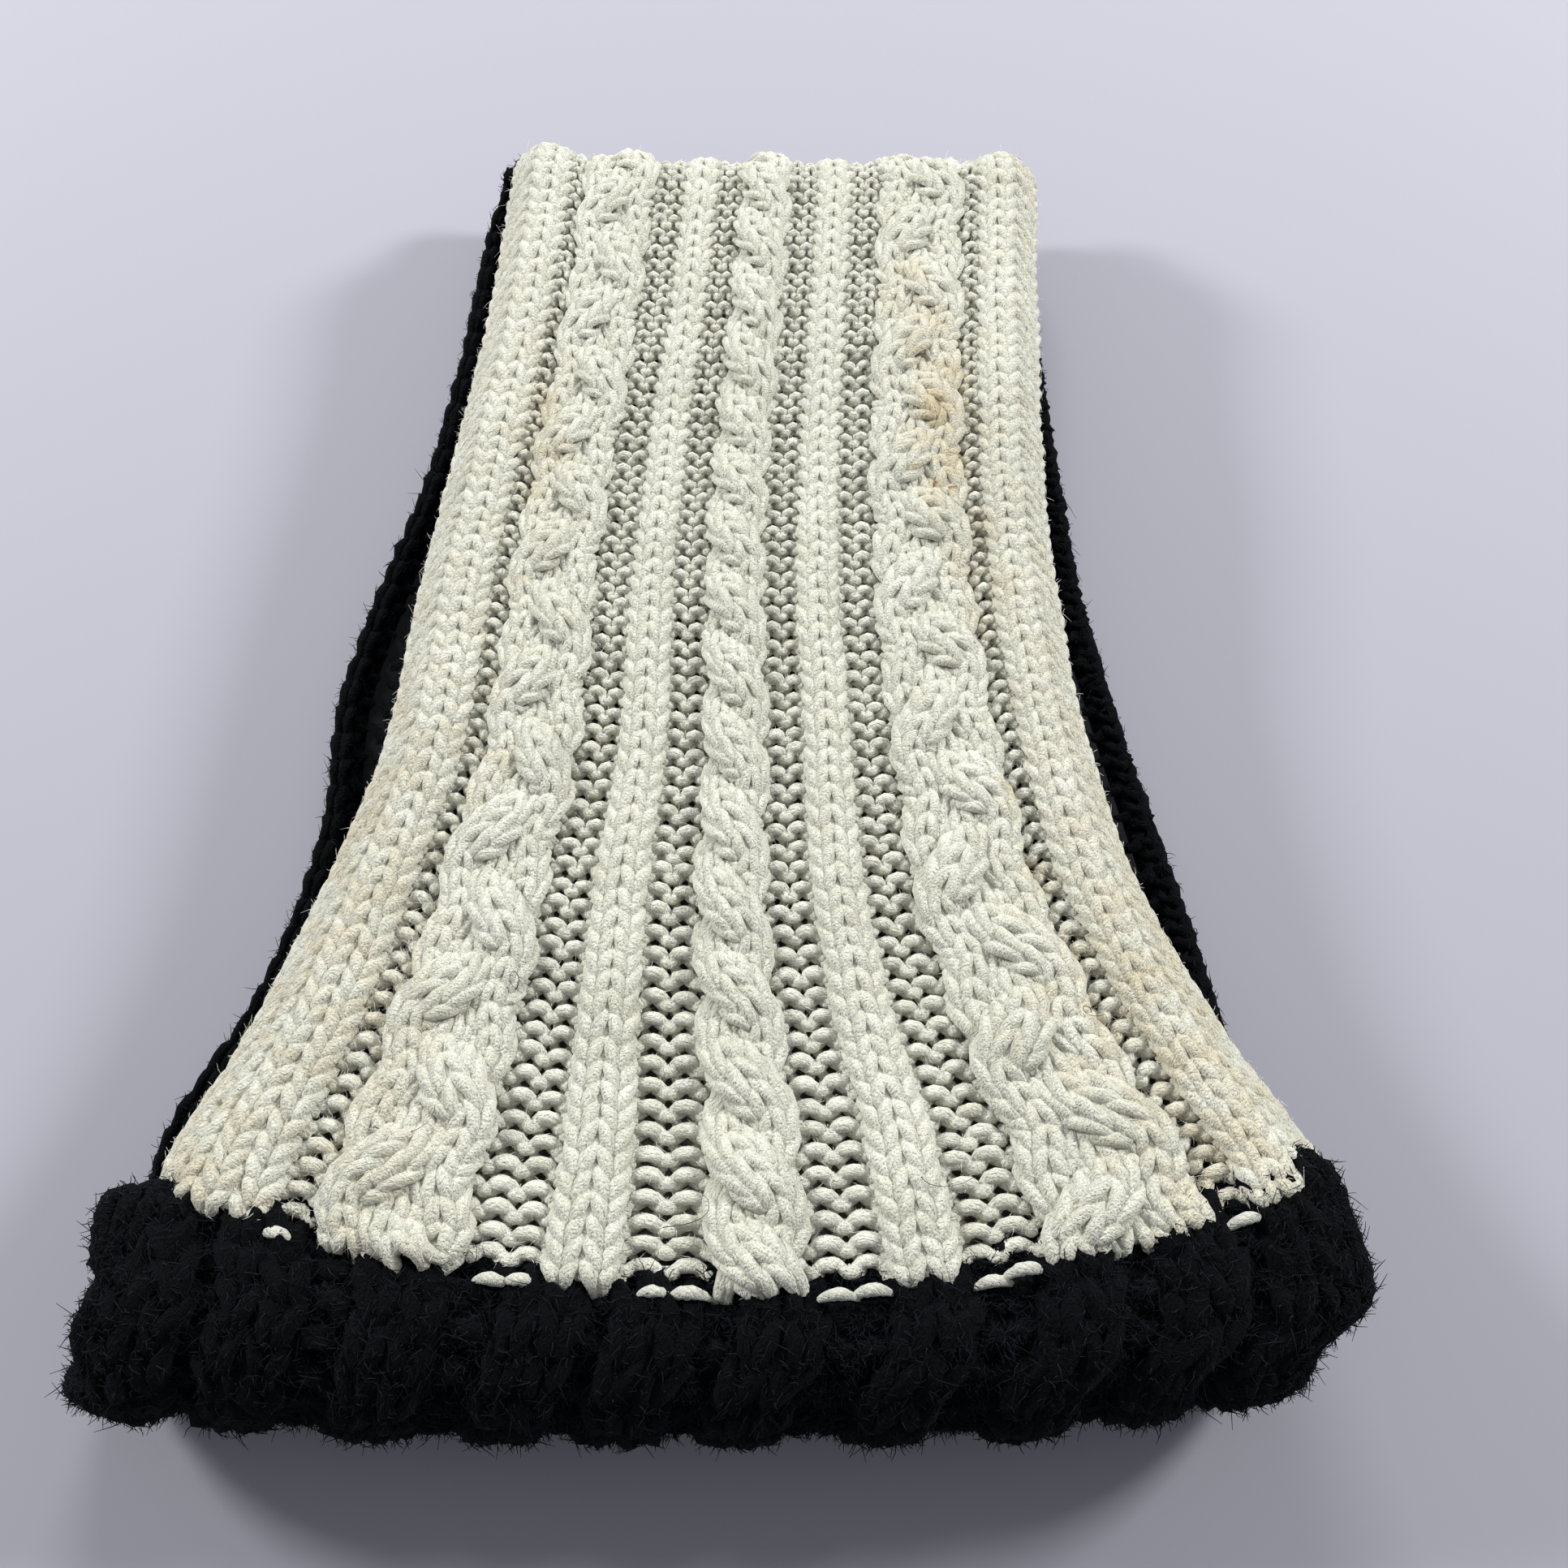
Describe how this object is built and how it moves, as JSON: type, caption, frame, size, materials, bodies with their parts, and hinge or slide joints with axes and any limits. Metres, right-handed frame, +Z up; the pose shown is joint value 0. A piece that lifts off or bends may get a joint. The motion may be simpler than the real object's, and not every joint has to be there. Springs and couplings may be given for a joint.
{
  "type": "neck gaiter",
  "caption": "Hand-knitted neck gaiter lying flat: cream cabled and ribbed knitting over a bulky brushed charcoal half that wraps round the near fold.",
  "frame": {"origin": "middle of the footprint, on the surface the gaiter rests on", "axes": "+X along the loop's own axis, the way the neck goes through, towards the right edge; +Y from the charcoal near fold to the cream far fold; +Z up"},
  "size_m": [0.256, 0.33, 0.044],
  "materials": {
    "cream_yarn": "soft hand-knitted wool-blend yarn, off-white",
    "charcoal_yarn": "thick brushed yarn, fuzzy, bluish charcoal"
  },
  "bodies": {
    "root": {"left_edge_rib": "cream_yarn", "left_gutter_purl": "cream_yarn", "left_plait_cable": "cream_yarn", "left_plait_purl": "cream_yarn", "inner_left_rib": "cream_yarn", "centre_left_purl": "cream_yarn", "centre_rope_cable": "cream_yarn", "centre_right_purl": "cream_yarn", "inner_right_rib": "cream_yarn", "right_plait_purl": "cream_yarn", "right_plait_cable": "cream_yarn", "right_gutter_purl": "cream_yarn", "right_edge_rib": "cream_yarn", "cream_far_fold": "cream_yarn", "colour_change_row": "cream_yarn", "charcoal_near_fold": "charcoal_yarn", "charcoal_far_turn": "charcoal_yarn", "far_seam": "charcoal_yarn", "lower_left_edge": "charcoal_yarn", "lower_panel": "charcoal_yarn", "lower_right_edge": "charcoal_yarn"}
  },
  "joints": []
}
